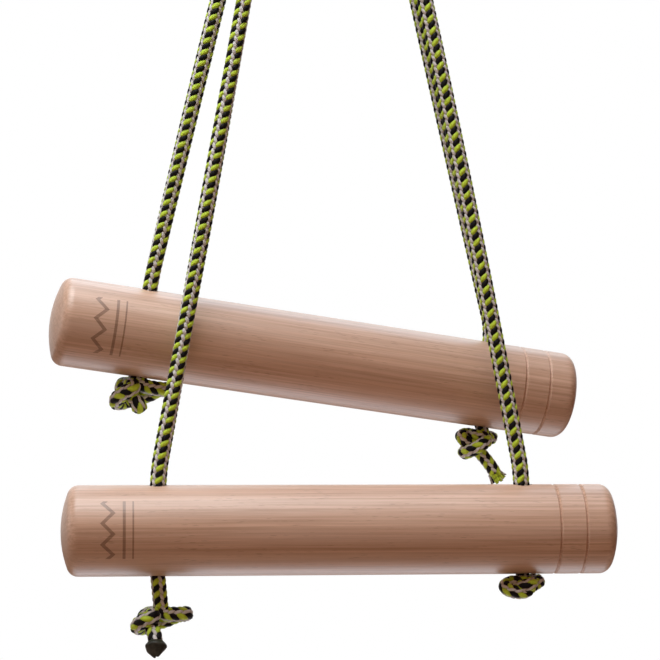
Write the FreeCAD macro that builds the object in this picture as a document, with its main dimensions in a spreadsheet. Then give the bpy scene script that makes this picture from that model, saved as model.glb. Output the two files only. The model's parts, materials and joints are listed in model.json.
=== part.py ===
import FreeCAD, Part
import Sketcher
import math
import os

Vector = FreeCAD.Vector

# Every size is in millimetres and every angle in degrees. The origin is the centre of the ceiling
# plate's top face: X runs along the bars, Y runs away from the viewer and Z is up.
SIZES = [
    ("bar_diameter", 50.0, "both grip bars"),
    ("bar_length", 309.5, "both grip bars, end to end"),
    ("end_dome", 60.0, "radius of the shallow dome on each bar end"),
    ("end_corner", 6.5, "radius of the rounded corner of each bar end"),
    ("hole_spacing", 204.0, "between the two rope holes of one bar"),
    ("hole_clearance", 1.0, "radial gap between rope and hole"),
    ("ring_first", 20.7, "first turned ring, from the right end"),
    ("ring_pitch", 14.6, "between the two turned rings"),
    ("ring_width", 2.0, "width of a turned ring at the surface"),
    ("ring_depth", 1.0, "depth of a turned ring"),
    ("rope_diameter", 9.0, "both ropes"),
    ("soft_gap", 0.4, "gap between soft pieces on different bodies"),
    ("front_bar_x", 9.7, "centre of the front bar"),
    ("front_bar_inset", 2.0, "back of the front bar past the middle plane"),
    ("front_bar_drop", 487.0, "front bar centre below the wire the ropes go over"),
    ("front_yaw", 6.1, "front bar, right end away"),
    ("front_tilt", 0.3, "front bar, right end down"),
    ("rear_bar_x", -4.1, "centre of the rear bar"),
    ("rear_bar_inset", 1.9, "front of the rear bar past the middle plane"),
    ("rear_bar_rise", 94.0, "rear bar centre above the front bar centre"),
    ("rear_yaw", 12.1, "rear bar, right end away"),
    ("rear_tilt", 8.5, "rear bar, right end down"),
    ("bow_front_left", -0.8, "bow of the strand, outward if positive"),
    ("bow_front_right", 3.8, "bow of the strand, outward if positive"),
    ("bow_rear_left", 1.6, "bow of the strand, outward if positive"),
    ("bow_rear_right", -0.7, "bow of the strand, outward if positive"),
    ("saddle_gap", 2.6, "between the two ropes on the carabiner wire"),
    ("saddle_clearance", 1.0, "rope to carabiner wire"),
    ("mouth_rise", 4.0, "height over the bar at which the rope turns into its hole"),
    ("loose_run", 16.5, "rope hanging between the front bar and its left knot"),
    ("wire_diameter", 10.0, "carabiner wire, gate and nose"),
    ("basket_radius", 25.0, "wire centreline at the wide end"),
    ("bow_radius", 11.0, "wire centreline at the narrow end"),
    ("carabiner_reach", 55.0, "between the centres of the two ends"),
    ("gate_play", 0.4, "gap at both ends of the gate"),
    ("foot_length", 6.0, "straight wire below the gate"),
    ("nose_length", 7.0, "straight wire above the gate"),
    ("tongue_width", 4.0, "flat foot of the gate and flat tongue of the nose"),
    ("tongue_length", 6.0, "flat tongue under the nose"),
    ("tongue_clearance", 0.3, "tongue in its slot, each side"),
    ("pin_diameter", 3.0, "gate pivot"),
    ("running_clearance", 0.08, "radial running fit"),
    ("sleeve_wall", 1.8, "screw sleeve"),
    ("sleeve_length", 16.0, "screw sleeve"),
    ("sleeve_travel", 15.0, "screw sleeve, up to locked over the nose"),
    ("eye_wire", 8.0, "anchor eye"),
    ("eye_radius", 14.0, "anchor eye, wire centreline"),
    ("eye_clearance", 0.05, "carabiner resting on the eye"),
    ("eye_leg", 20.0, "straight legs of the anchor eye"),
    ("plate_length", 96.0, "ceiling plate along X"),
    ("plate_width", 40.0, "ceiling plate along Y"),
    ("plate_thickness", 6.0, "ceiling plate"),
    ("plate_corner", 8.0, "ceiling plate corner radius"),
    ("plate_hole_spacing", 70.0, "ceiling plate, between its two bolt holes"),
    ("plate_hole", 9.0, "ceiling plate bolt holes"),
]

doc = FreeCAD.newDocument("hanging_bars")
sheet = doc.addObject("Spreadsheet::Sheet", "sizes")
for row, (alias, value, note) in enumerate(SIZES, start=1):
    sheet.set(f"A{row}", alias)
    sheet.set(f"B{row}", str(value))
    sheet.set(f"C{row}", note)
    sheet.setAlias(f"B{row}", alias)
doc.recompute()

finished = []


def size(alias):
    """One value of the sheet as a plain number."""
    return float(sheet.get(alias))


def keep(obj, label):
    """Names a finished sub-part and adds it to the list that is written out."""
    obj.Label = label
    finished.append(obj)
    return obj


def solid(label, shape, placement=None):
    """A sub-part whose shape is built in code from the sheet's values."""
    feature = doc.addObject("Part::Feature", label)
    feature.Shape = shape
    if placement is not None:
        feature.Placement = placement
    return keep(feature, label)


def plane_of(body, role):
    """One of a body's own origin planes."""
    for feature in body.Origin.OriginFeatures:
        if feature.Role == role:
            return feature
    raise ValueError(f"{body.Name} has no {role}")


def sketch_on(body, role, name):
    """An empty sketch on one of a body's own planes."""
    sketch = body.newObject("Sketcher::SketchObject", name)
    sketch.AttachmentSupport = [(plane_of(body, role), "")]
    sketch.MapMode = "FlatFace"
    return sketch


def drive(sketch, constraint, name, expression):
    """Adds a dimension to a sketch and ties it to the sheet."""
    index = sketch.addConstraint(constraint)
    sketch.renameConstraint(index, name)
    sketch.setExpression(f"Constraints.{name}", expression)


# ---------------------------------------------------------------- routes of round cords and wires
def rounded_wire(points, radii=None, share=0.45):
    """Straight runs joined by tangent arcs. Returns the wire and the arc radii."""
    edges = []
    used = []
    start = points[0]
    for i in range(1, len(points) - 1):
        corner = points[i]
        back = points[i - 1] - corner
        ahead = points[i + 1] - corner
        short = min(back.Length, ahead.Length)
        back.normalize()
        ahead.normalize()
        turn = math.pi - back.getAngle(ahead)
        radius = share * short / math.tan(turn / 2.0)
        if radii and radii.get(i):
            radius = radii[i]
        reach = radius * math.tan(turn / 2.0)
        first = corner + back * reach
        last = corner + ahead * reach
        middle_way = back + ahead
        middle_way.normalize()
        centre_distance = radius / math.cos(turn / 2.0)
        middle = corner + middle_way * (centre_distance - radius)
        if (first - start).Length > 1e-6:
            edges.append(Part.LineSegment(start, first).toShape())
        edges.append(Part.Arc(first, middle, last).toShape())
        used.append(radius)
        start = last
    edges.append(Part.LineSegment(start, points[-1]).toShape())
    return Part.Wire(edges), used


def tube(wire, diameter, label):
    """A round section swept along a wire, with its volume compared with section times length."""
    edge = wire.OrderedEdges[0]
    at = edge.valueAt(edge.FirstParameter)
    way = edge.tangentAt(edge.FirstParameter)
    ring = Part.Wire([Part.Circle(at, way, diameter / 2.0).toShape()])
    shape = wire.makePipeShell([ring], True, False, 2)
    expected = math.pi * (diameter / 2.0) ** 2 * wire.Length
    if abs(shape.Volume / expected - 1.0) > 0.02:
        raise ValueError(f"{label}: swept volume is {shape.Volume / expected:.3f} of section x length")
    return shape


# ---------------------------------------------------------------- frames that several pieces share
rope_radius = size("rope_diameter") / 2.0
wire_radius = size("wire_diameter") / 2.0
bar_radius = size("bar_diameter") / 2.0
eye_centre = Vector(0, 0, -(size("plate_thickness") + size("eye_leg")))
bow_top_z = eye_centre.z - size("eye_radius") + size("eye_wire") / 2.0 + wire_radius + size("eye_clearance")
bow_centre = Vector(0, 0, bow_top_z - size("bow_radius"))
basket_centre = bow_centre - Vector(0, 0, size("carabiner_reach"))
wire_z = basket_centre.z - size("basket_radius")


class Frame:
    """Where one bar hangs: its axis, its hole direction and the wire point its rope goes over."""

    def __init__(self, name, side):
        self.name = name
        drop = size("front_bar_drop") - (size("rear_bar_rise") if side > 0 else 0.0)
        centre_y = side * (bar_radius - size(f"{name}_bar_inset"))
        self.centre = Vector(size(f"{name}_bar_x"), centre_y, wire_z - drop)
        yaw = math.radians(size(f"{name}_yaw"))
        tilt = math.radians(size(f"{name}_tilt"))
        self.axis = Vector(math.cos(tilt) * math.cos(yaw), math.cos(tilt) * math.sin(yaw), -math.sin(tilt))
        offset = side * (rope_radius + size("saddle_gap") / 2.0)
        dip = math.sqrt(size("basket_radius") ** 2 - offset ** 2)
        self.wire = basket_centre + Vector(0, offset, -dip)
        to_wire = self.wire - self.centre
        self.up = to_wire - self.axis * to_wire.dot(self.axis)
        self.up.normalize()
        self.across = self.up.cross(self.axis)
        self.level = Vector(math.cos(yaw), math.sin(yaw), 0)
        self.rise = to_wire - self.level * to_wire.dot(self.level)
        self.rise.normalize()
        rows = [self.axis, self.across, self.up]
        matrix = FreeCAD.Matrix(
            rows[0].x, rows[1].x, rows[2].x, self.centre.x,
            rows[0].y, rows[1].y, rows[2].y, self.centre.y,
            rows[0].z, rows[1].z, rows[2].z, self.centre.z,
            0, 0, 0, 1)
        self.placement = FreeCAD.Placement(matrix)

    def at(self, along, across, up):
        """A point given in the bar's own axes."""
        return self.centre + self.axis * along + self.across * across + self.up * up


front = Frame("front", -1)
rear = Frame("rear", 1)


# ---------------------------------------------------------------- ceiling plate and its eye
def make_plate():
    body = doc.addObject("PartDesign::Body", "ceiling_plate_body")
    sketch = sketch_on(body, "XY_Plane", "plate_outline")
    half_x = size("plate_length") / 2.0
    half_y = size("plate_width") / 2.0
    corners = [Vector(-half_x, -half_y), Vector(half_x, -half_y), Vector(half_x, half_y), Vector(-half_x, half_y)]
    for i in range(4):
        sketch.addGeometry(Part.LineSegment(corners[i], corners[(i + 1) % 4]), False)
    for i in range(4):
        sketch.addConstraint(Sketcher.Constraint("Coincident", i, 2, (i + 1) % 4, 1))
    for i in (0, 2):
        sketch.addConstraint(Sketcher.Constraint("Horizontal", i))
    for i in (1, 3):
        sketch.addConstraint(Sketcher.Constraint("Vertical", i))
    sketch.addConstraint(Sketcher.Constraint("Symmetric", 0, 1, 2, 1, -1, 1))
    drive(sketch, Sketcher.Constraint("DistanceX", 0, 1, 0, 2, 2 * half_x), "length", "sizes.plate_length")
    drive(sketch, Sketcher.Constraint("DistanceY", 1, 1, 1, 2, 2 * half_y), "width", "sizes.plate_width")
    pad = body.newObject("PartDesign::Pad", "plate_pad")
    pad.Profile = sketch
    pad.Reversed = True
    pad.setExpression("Length", "sizes.plate_thickness")
    doc.recompute()
    upright = []
    for number, edge in enumerate(pad.Shape.Edges, start=1):
        ends = edge.Vertexes
        if abs(ends[0].X - ends[1].X) < 1e-6 and abs(ends[0].Y - ends[1].Y) < 1e-6:
            upright.append(f"Edge{number}")
    fillet = body.newObject("PartDesign::Fillet", "plate_corners")
    fillet.Base = (pad, upright)
    fillet.setExpression("Radius", "sizes.plate_corner")
    doc.recompute()
    holes = sketch_on(body, "XY_Plane", "plate_holes")
    reach = size("plate_hole_spacing") / 2.0
    for i, x in enumerate((-reach, reach)):
        holes.addGeometry(Part.Circle(Vector(x, 0), Vector(0, 0, 1), size("plate_hole") / 2.0), False)
        drive(holes, Sketcher.Constraint("Diameter", i, size("plate_hole")), f"bore_{i}", "sizes.plate_hole")
        holes.addConstraint(Sketcher.Constraint("PointOnObject", i, 3, -1))
    drive(holes, Sketcher.Constraint("DistanceX", 0, 3, -1, 1, reach), "left", "sizes.plate_hole_spacing / 2")
    drive(holes, Sketcher.Constraint("DistanceX", -1, 1, 1, 3, reach), "right", "sizes.plate_hole_spacing / 2")
    pocket = body.newObject("PartDesign::Pocket", "plate_bores")
    pocket.Profile = holes
    pocket.Type = "ThroughAll"
    pocket.Midplane = True
    doc.recompute()
    if pocket.Shape.Volume >= fillet.Shape.Volume:
        raise ValueError("the plate's bores cut nothing")
    body.Tip = pocket
    return keep(body, "ceiling_plate")


def make_eye():
    """A round-wire staple whose two legs are welded under the plate."""
    radius = size("eye_radius")
    top = -size("plate_thickness")
    left = Vector(-radius, 0, top)
    left_low = Vector(-radius, 0, eye_centre.z)
    bottom = Vector(0, 0, eye_centre.z - radius)
    right_low = Vector(radius, 0, eye_centre.z)
    right = Vector(radius, 0, top)
    edges = [
        Part.LineSegment(left, left_low).toShape(),
        Part.Arc(left_low, bottom, right_low).toShape(),
        Part.LineSegment(right_low, right).toShape(),
    ]
    return solid("anchor_eye", tube(Part.Wire(edges), size("eye_wire"), "anchor_eye"))


make_plate()
make_eye()


# ---------------------------------------------------------------- carabiner
lean = math.asin((size("basket_radius") - size("bow_radius")) / size("carabiner_reach"))
gate_out = Vector(0, -math.cos(lean), math.sin(lean))
gate_way = Vector(0, math.sin(lean), math.cos(lean))
spine_out = Vector(0, math.cos(lean), math.sin(lean))
foot = basket_centre + gate_out * size("basket_radius")
nose = bow_centre + gate_out * size("bow_radius")
side_length = (nose - foot).Length
gate_start = foot + gate_way * size("foot_length")
gate_end = nose - gate_way * size("nose_length")
gate_length = (gate_end - gate_start).Length
pivot = gate_start + gate_way * wire_radius
swing = gate_length - wire_radius
head_gap = size("gate_play") + math.hypot(swing, wire_radius) - swing
across_x = Vector(1, 0, 0)
gate_placement = FreeCAD.Placement(gate_start, FreeCAD.Rotation(Vector(0, 0, 1), gate_way))


def slab(at, way, length, thickness):
    """A block centred on the gate line that runs along it, wide in Y and thin in X."""
    block = Part.makeBox(thickness, 40.0, length, Vector(-thickness / 2.0, -20.0, 0))
    block.Placement = FreeCAD.Placement(at, FreeCAD.Rotation(Vector(0, 0, 1), way))
    return block


def round_the_pivot(radius):
    return Part.makeCylinder(radius, 40.0, pivot - across_x * 20.0, across_x)


def make_carabiner():
    """One bent wire with a round-ended fork for the gate's foot and a tongue at the nose."""
    spine_low = basket_centre + spine_out * size("basket_radius")
    spine_high = bow_centre + spine_out * size("bow_radius")
    edges = [
        Part.LineSegment(pivot + gate_way * wire_radius, foot).toShape(),
        Part.Arc(foot, basket_centre - Vector(0, 0, size("basket_radius")), spine_low).toShape(),
        Part.LineSegment(spine_low, spine_high).toShape(),
        Part.Arc(spine_high, bow_centre + Vector(0, 0, size("bow_radius")), nose).toShape(),
        Part.LineSegment(nose, gate_end - gate_way * size("tongue_length")).toShape(),
    ]
    shape = tube(Part.Wire(edges), size("wire_diameter"), "carabiner_body")
    slot = size("tongue_width") + 2.0 * size("tongue_clearance")
    fork_depth = 2.0 * wire_radius + size("gate_play") + 0.01
    shape = shape.cut(slab(gate_start - gate_way * size("gate_play"), gate_way, fork_depth, slot))
    corners = slab(pivot, gate_way, wire_radius + 0.01, 3.0 * size("wire_diameter"))
    shape = shape.cut(corners.cut(round_the_pivot(wire_radius)))
    low = gate_end - gate_way * size("tongue_length")
    keep_in = slab(low - gate_way * 0.01, gate_way, size("tongue_length") + 0.01, size("tongue_width"))
    whole = slab(low - gate_way * 0.01, gate_way, size("tongue_length") + 0.01, 3.0 * size("wire_diameter"))
    shape = shape.cut(whole.cut(keep_in))
    return solid("carabiner_body", shape.cut(round_the_pivot(size("pin_diameter") / 2.0)).removeSplitter())


def make_gate():
    """A round rod with a flat round-ended foot in the body's fork and a slotted head over its tongue."""
    play = size("gate_play")
    slot = size("tongue_width") + 2.0 * size("tongue_clearance")
    rod = Part.makeCylinder(wire_radius, gate_length - head_gap, gate_start, gate_way)
    below = slab(gate_start - gate_way * 0.01, gate_way, wire_radius + 0.01, 3.0 * size("wire_diameter"))
    rod = rod.cut(below.cut(round_the_pivot(wire_radius)))
    tongue = slab(gate_start - gate_way, gate_way, 2.0 * size("wire_diameter"), size("tongue_width"))
    rod = rod.cut(below.fuse(round_the_pivot(wire_radius + play)).cut(tongue))
    head = gate_end - gate_way * (size("tongue_length") + head_gap)
    rod = rod.cut(slab(head, gate_way, size("tongue_length") + head_gap + 1.0, slot))
    bore = round_the_pivot(size("pin_diameter") / 2.0 + size("running_clearance"))
    return solid("carabiner_gate", rod.cut(bore).removeSplitter())


def make_pin():
    pin = doc.addObject("Part::Cylinder", "gate_pivot_pin")
    pin.setExpression("Radius", "sizes.pin_diameter / 2")
    pin.setExpression("Height", "sizes.wire_diameter - 1")
    half = (size("wire_diameter") - 1.0) / 2.0
    pin.Placement = FreeCAD.Placement(pivot - across_x * half, FreeCAD.Rotation(Vector(0, 0, 1), across_x))
    return keep(pin, "gate_pivot_pin")


sleeve_start = pivot + gate_way * (wire_radius + size("gate_play") + 0.6)
locked_end = (sleeve_start - gate_start).Length + size("sleeve_length") + size("sleeve_travel")
if not gate_length + 1.0 < locked_end < gate_length + size("nose_length"):
    raise ValueError("the locked sleeve doesn't end on the straight nose")


def make_sleeve():
    """The screw sleeve round the gate, drawn low, where the gate can open."""
    body = doc.addObject("PartDesign::Body", "screw_sleeve_body")
    sketch = sketch_on(body, "XY_Plane", "sleeve_section")
    inner = wire_radius + size("running_clearance")
    for i, radius in enumerate((inner, inner + size("sleeve_wall"))):
        sketch.addGeometry(Part.Circle(Vector(0, 0), Vector(0, 0, 1), radius), False)
        sketch.addConstraint(Sketcher.Constraint("Coincident", i, 3, -1, 1))
    drive(sketch, Sketcher.Constraint("Radius", 0, inner), "bore",
          "sizes.wire_diameter / 2 + sizes.running_clearance")
    drive(sketch, Sketcher.Constraint("Radius", 1, inner + size("sleeve_wall")), "outside",
          "sizes.wire_diameter / 2 + sizes.running_clearance + sizes.sleeve_wall")
    pad = body.newObject("PartDesign::Pad", "sleeve_pad")
    pad.Profile = sketch
    pad.setExpression("Length", "sizes.sleeve_length")
    body.Placement = FreeCAD.Placement(sleeve_start, FreeCAD.Rotation(Vector(0, 0, 1), gate_way))
    doc.recompute()
    return keep(body, "screw_sleeve")


make_carabiner()
make_gate()
make_pin()
make_sleeve()


# ---------------------------------------------------------------- grip bars
def make_bar(frame):
    """A turned bar with domed ends, two turned rings near its right end and two cross holes."""
    body = doc.addObject("PartDesign::Body", f"{frame.name}_bar_body")
    half = size("bar_length") / 2.0
    dome = size("end_dome")
    corner = size("end_corner")
    shoulder = bar_radius - corner
    run = dome - math.sqrt((dome - corner) ** 2 - shoulder ** 2)
    steep = math.atan2(shoulder, dome - run)
    profile = sketch_on(body, "XZ_Plane", f"{frame.name}_profile")
    up = Vector(0, 0, 1)
    left_dome = Part.ArcOfCircle(Part.Circle(Vector(-half + dome, 0), up, dome), math.pi - steep, math.pi)
    left_corner = Part.ArcOfCircle(
        Part.Circle(Vector(-half + run, shoulder), up, corner), math.pi / 2.0, math.pi - steep)
    top = Part.LineSegment(Vector(-half + run, bar_radius), Vector(half - run, bar_radius))
    right_corner = Part.ArcOfCircle(Part.Circle(Vector(half - run, shoulder), up, corner), steep, math.pi / 2.0)
    right_dome = Part.ArcOfCircle(Part.Circle(Vector(half - dome, 0), up, dome), 0.0, steep)
    base = Part.LineSegment(Vector(-half, 0), Vector(half, 0))
    for piece in (left_dome, left_corner, top, right_corner, right_dome, base):
        profile.addGeometry(piece, False)
    joins = [(0, 1, 1, 2), (1, 1, 2, 1), (2, 2, 3, 2), (3, 1, 4, 2)]
    for a, a_end, b, b_end in joins:
        profile.addConstraint(Sketcher.Constraint("Tangent", a, a_end, b, b_end))
    profile.addConstraint(Sketcher.Constraint("Coincident", 0, 2, 5, 1))
    profile.addConstraint(Sketcher.Constraint("Coincident", 4, 1, 5, 2))
    profile.addConstraint(Sketcher.Constraint("PointOnObject", 0, 3, -1))
    profile.addConstraint(Sketcher.Constraint("PointOnObject", 4, 3, -1))
    profile.addConstraint(Sketcher.Constraint("PointOnObject", 5, 1, -1))
    profile.addConstraint(Sketcher.Constraint("Horizontal", 5))
    drive(profile, Sketcher.Constraint("DistanceX", 5, 1, -1, 1, half), "left", "sizes.bar_length / 2")
    drive(profile, Sketcher.Constraint("DistanceX", -1, 1, 5, 2, half), "right", "sizes.bar_length / 2")
    drive(profile, Sketcher.Constraint("Radius", 0, dome), "dome_left", "sizes.end_dome")
    drive(profile, Sketcher.Constraint("Radius", 4, dome), "dome_right", "sizes.end_dome")
    drive(profile, Sketcher.Constraint("Radius", 1, corner), "corner_left", "sizes.end_corner")
    drive(profile, Sketcher.Constraint("Radius", 3, corner), "corner_right", "sizes.end_corner")
    drive(profile, Sketcher.Constraint("DistanceY", -1, 1, 2, 1, bar_radius), "radius", "sizes.bar_diameter / 2")
    turned = body.newObject("PartDesign::Revolution", f"{frame.name}_turned")
    turned.Profile = profile
    turned.ReferenceAxis = (profile, ["H_Axis"])
    turned.Angle = 360.0
    doc.recompute()

    rings = sketch_on(body, "XZ_Plane", f"{frame.name}_rings")
    wide = size("ring_width") / 2.0
    deep = size("ring_depth")
    proud = 1.0
    outer = wide * (deep + proud) / deep
    for i in range(2):
        x = half - size("ring_first") - i * size("ring_pitch")
        tip = Vector(x, bar_radius - deep)
        first = Vector(x - outer, bar_radius + proud)
        last = Vector(x + outer, bar_radius + proud)
        n = 3 * i
        for a, b in ((tip, first), (first, last), (last, tip)):
            rings.addGeometry(Part.LineSegment(a, b), False)
        rings.addConstraint(Sketcher.Constraint("Coincident", n, 2, n + 1, 1))
        rings.addConstraint(Sketcher.Constraint("Coincident", n + 1, 2, n + 2, 1))
        rings.addConstraint(Sketcher.Constraint("Coincident", n + 2, 2, n, 1))
        rings.addConstraint(Sketcher.Constraint("Horizontal", n + 1))
        rings.addConstraint(Sketcher.Constraint("Equal", n, n + 2))
        drive(rings, Sketcher.Constraint("DistanceX", -1, 1, n, 1, x), f"place_{i}",
              f"sizes.bar_length / 2 - sizes.ring_first - {i} * sizes.ring_pitch")
        drive(rings, Sketcher.Constraint("DistanceY", -1, 1, n, 1, tip.y), f"root_{i}",
              "sizes.bar_diameter / 2 - sizes.ring_depth")
        drive(rings, Sketcher.Constraint("DistanceX", n + 1, 1, n + 1, 2, 2 * outer), f"width_{i}",
              f"sizes.ring_width * (sizes.ring_depth + {proud}) / sizes.ring_depth")
        drive(rings, Sketcher.Constraint("DistanceY", n, 1, n, 2, deep + proud), f"depth_{i}",
              f"sizes.ring_depth + {proud}")
    groove = body.newObject("PartDesign::Groove", f"{frame.name}_ring_cut")
    groove.Profile = rings
    groove.ReferenceAxis = (rings, ["H_Axis"])
    groove.Angle = 360.0
    doc.recompute()
    if groove.Shape.Volume >= turned.Shape.Volume:
        raise ValueError(f"{frame.name}: the turned rings cut nothing")

    bores = sketch_on(body, "XY_Plane", f"{frame.name}_bores")
    reach = size("hole_spacing") / 2.0
    radius = rope_radius + size("hole_clearance")
    for i, x in enumerate((-reach, reach)):
        bores.addGeometry(Part.Circle(Vector(x, 0), up, radius), False)
        bores.addConstraint(Sketcher.Constraint("PointOnObject", i, 3, -1))
        drive(bores, Sketcher.Constraint("Radius", i, radius), f"bore_{i}",
              "sizes.rope_diameter / 2 + sizes.hole_clearance")
    drive(bores, Sketcher.Constraint("DistanceX", 0, 3, -1, 1, reach), "left", "sizes.hole_spacing / 2")
    drive(bores, Sketcher.Constraint("DistanceX", -1, 1, 1, 3, reach), "right", "sizes.hole_spacing / 2")
    pocket = body.newObject("PartDesign::Pocket", f"{frame.name}_bored")
    pocket.Profile = bores
    pocket.Type = "ThroughAll"
    pocket.Midplane = True
    doc.recompute()
    removed = groove.Shape.Volume - pocket.Shape.Volume
    if removed < 1.8 * math.pi * radius ** 2 * (size("bar_diameter") - 2.0):
        raise ValueError(f"{frame.name}: the rope holes do not go through")
    body.Tip = pocket
    body.Placement = frame.placement
    return keep(body, f"{frame.name}_bar")


make_bar(front)
make_bar(rear)


# ---------------------------------------------------------------- ropes
# Where along each strand the rope route has its points, from the saddle down to the bar.
STRAND = {
    "front": (0.085, 0.225, 0.455, 0.705, 0.87, 0.955),
    "rear": (0.10, 0.27, 0.53, 0.745, 0.875, 0.945),
}


def strand(frame, side, top):
    """Route points from the saddle corner down to inside the hole."""
    word = "left" if side < 0 else "right"
    along = side * size("hole_spacing") / 2.0
    mouth = frame.at(along, 0, bar_radius + size("mouth_rise"))
    end = frame.at(along, 0, size("soft_gap") / 2.0)
    way = mouth - top
    out = frame.level * side
    out = out - way * (out.dot(way) / way.dot(way))
    out.normalize()
    bow = size(f"bow_{frame.name}_{word}")
    points = [top + way * t + out * (bow * math.sin(math.pi * t)) for t in STRAND[frame.name]]
    return points + [mouth, end]


def rope_route(frame):
    """The rope from inside the left hole, over the carabiner wire, to inside the right hole."""
    saddle = wire_radius + size("saddle_clearance") + rope_radius
    half_run = saddle * math.tan(math.radians(39.0)) / 0.9
    for _ in range(12):
        tops = [frame.wire + frame.rise * saddle + frame.level * (side * half_run) for side in (-1, 1)]
        left = strand(frame, -1, tops[0])
        right = strand(frame, 1, tops[1])
        turns = []
        for side, first in ((-1, left[0] - tops[0]), (1, right[0] - tops[1])):
            turns.append((frame.level * side).getAngle(first))
        half_run = saddle * math.tan(max(turns) / 2.0) / 0.9
    return left[::-1] + tops + right


def make_rope(frame):
    points = rope_route(frame)
    wire, radii = rounded_wire(points)
    print(frame.name, "rope length", round(wire.Length, 1), "arc radii", [round(r, 1) for r in radii])
    print(frame.name, "rope points", [[round(p.x / 1e3, 5), round(p.y / 1e3, 5), round(p.z / 1e3, 5)] for p in points])
    return solid(f"{frame.name}_rope", tube(wire, size("rope_diameter"), f"{frame.name}_rope"))


make_rope(front)
make_rope(rear)


# ---------------------------------------------------------------- rope ends under the bars
# name, bar, side, rope showing under the bar, knot half sizes along/across/up, knot shift along,
# tail points from the knot's centre in the bar's axes, tip length
ENDS = [
    ("front_left", front, -1, size("loose_run"), (12.6, 9.5, 8.6), 1.5,
     [(-3.0, 0.0, -2.0), (-7.0, -1.5, -12.0), (-8.6, -2.5, -18.5)], 5.0),
    ("front_right", front, 1, 0.6, (12.2, 10.0, 8.4), 0.0, [], 0.0),
    ("rear_left", rear, -1, 0.6, (15.0, 10.5, 11.0), -1.5,
     [(4.0, 0.0, -4.0), (8.0, 1.5, -12.0), (12.0, 2.5, -19.0)], 0.0),
    ("rear_right", rear, 1, 0.6, (11.6, 10.0, 9.4), -1.0,
     [(2.0, 0.0, -3.0), (6.5, -1.5, -13.0), (14.0, -2.0, -26.0)], 0.0),
]


def make_end(name, frame, side, gap, radii, shift, tail, tip):
    along = side * size("hole_spacing") / 2.0
    flat = 0.72 * radii[2]
    top = -(bar_radius + gap)
    run = Part.makeCylinder(rope_radius, -size("soft_gap") / 2.0 - top, frame.at(along, 0, top), frame.up)
    solid(f"{name}_run", run)
    ball = Part.makeSphere(1.0)
    scale = FreeCAD.Matrix()
    scale.scale(radii[0], radii[1], radii[2])
    ball = ball.transformGeometry(scale)
    ball.Placement = FreeCAD.Placement(frame.placement)
    centre = frame.at(along + shift, 0, top - flat)
    ball.translate(centre - frame.centre)
    box = Part.makeBox(80, 80, 80, Vector(-40, -40, -80))
    box.Placement = frame.placement
    box.translate(frame.at(along + shift, 0, top) - frame.centre)
    knot = ball.common(box)
    solid(f"{name}_knot", knot)
    if not tail:
        return
    points = [centre + frame.axis * a + frame.across * b + frame.up * c for a, b, c in tail]
    wire, _ = rounded_wire(points)
    piece = tube(wire, size("rope_diameter"), f"{name}_tail").cut(knot)
    solid(f"{name}_tail", max(piece.Solids, key=lambda s: s.Volume))
    if tip:
        way = points[-1] - points[-2]
        way.normalize()
        cap = Part.makeCone(rope_radius, rope_radius + 0.9, tip, points[-1], way)
        solid(f"{name}_tip", cap)


for end in ENDS:
    make_end(*end)


# ---------------------------------------------------------------- checks and files
doc.recompute()
for obj in doc.Objects:
    if any(word in obj.State for word in ("Invalid", "Error")):
        raise ValueError(f"{obj.Name} did not recompute: {obj.State}")
for obj in finished:
    if obj.Shape.isNull() or not obj.Shape.isValid() or not obj.Shape.Solids:
        raise ValueError(f"{obj.Label} has no valid solid")
print("basket_centre_z", basket_centre.z, "wire_z", wire_z, "bow_centre_z", bow_centre.z, "eye_centre_z", eye_centre.z)
print("pivot", pivot, "gate_way", gate_way, "front", front.centre, front.axis, front.up, front.wire)
print("rear", rear.centre, rear.axis, rear.up, rear.wire)
os.makedirs("parts", exist_ok=True)
for obj in finished:
    obj.Shape.exportStep(f"parts/{obj.Label}.step")
    print(obj.Label, round(obj.Shape.Volume, 1), len(obj.Shape.Solids))
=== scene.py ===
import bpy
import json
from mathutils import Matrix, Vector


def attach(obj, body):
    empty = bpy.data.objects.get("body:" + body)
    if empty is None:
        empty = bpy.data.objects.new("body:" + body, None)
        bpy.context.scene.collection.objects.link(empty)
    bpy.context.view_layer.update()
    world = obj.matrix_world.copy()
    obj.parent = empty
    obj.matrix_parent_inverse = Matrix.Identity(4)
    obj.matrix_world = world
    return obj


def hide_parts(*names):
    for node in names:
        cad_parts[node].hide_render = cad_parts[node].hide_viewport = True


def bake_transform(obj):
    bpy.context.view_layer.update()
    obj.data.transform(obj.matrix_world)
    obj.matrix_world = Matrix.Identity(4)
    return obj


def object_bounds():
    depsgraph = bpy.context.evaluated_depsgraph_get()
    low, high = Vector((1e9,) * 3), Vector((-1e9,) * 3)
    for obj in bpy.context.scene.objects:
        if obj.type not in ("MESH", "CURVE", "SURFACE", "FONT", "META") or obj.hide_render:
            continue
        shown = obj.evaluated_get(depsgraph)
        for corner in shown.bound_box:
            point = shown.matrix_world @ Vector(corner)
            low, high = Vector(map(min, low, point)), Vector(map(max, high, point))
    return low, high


bl_info = {
    "name": "Rope-hung wooden grip bars",
    "version": (1, 0, 0),
    "blender": (4, 5, 0),
    "location": "View3D > Sidebar > Grip bars",
    "description": "Builds the looks of two wooden grip bars hung on braided ropes",
    "category": "Object",
}

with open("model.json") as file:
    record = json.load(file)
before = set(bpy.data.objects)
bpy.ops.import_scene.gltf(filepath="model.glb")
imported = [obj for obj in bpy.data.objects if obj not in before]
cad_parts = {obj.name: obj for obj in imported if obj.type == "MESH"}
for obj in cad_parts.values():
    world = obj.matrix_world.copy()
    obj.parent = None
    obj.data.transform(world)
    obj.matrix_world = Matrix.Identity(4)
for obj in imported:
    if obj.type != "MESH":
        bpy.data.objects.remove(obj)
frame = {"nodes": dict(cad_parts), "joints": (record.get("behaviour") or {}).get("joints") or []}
CAD_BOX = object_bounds()

import json
import math

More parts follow.
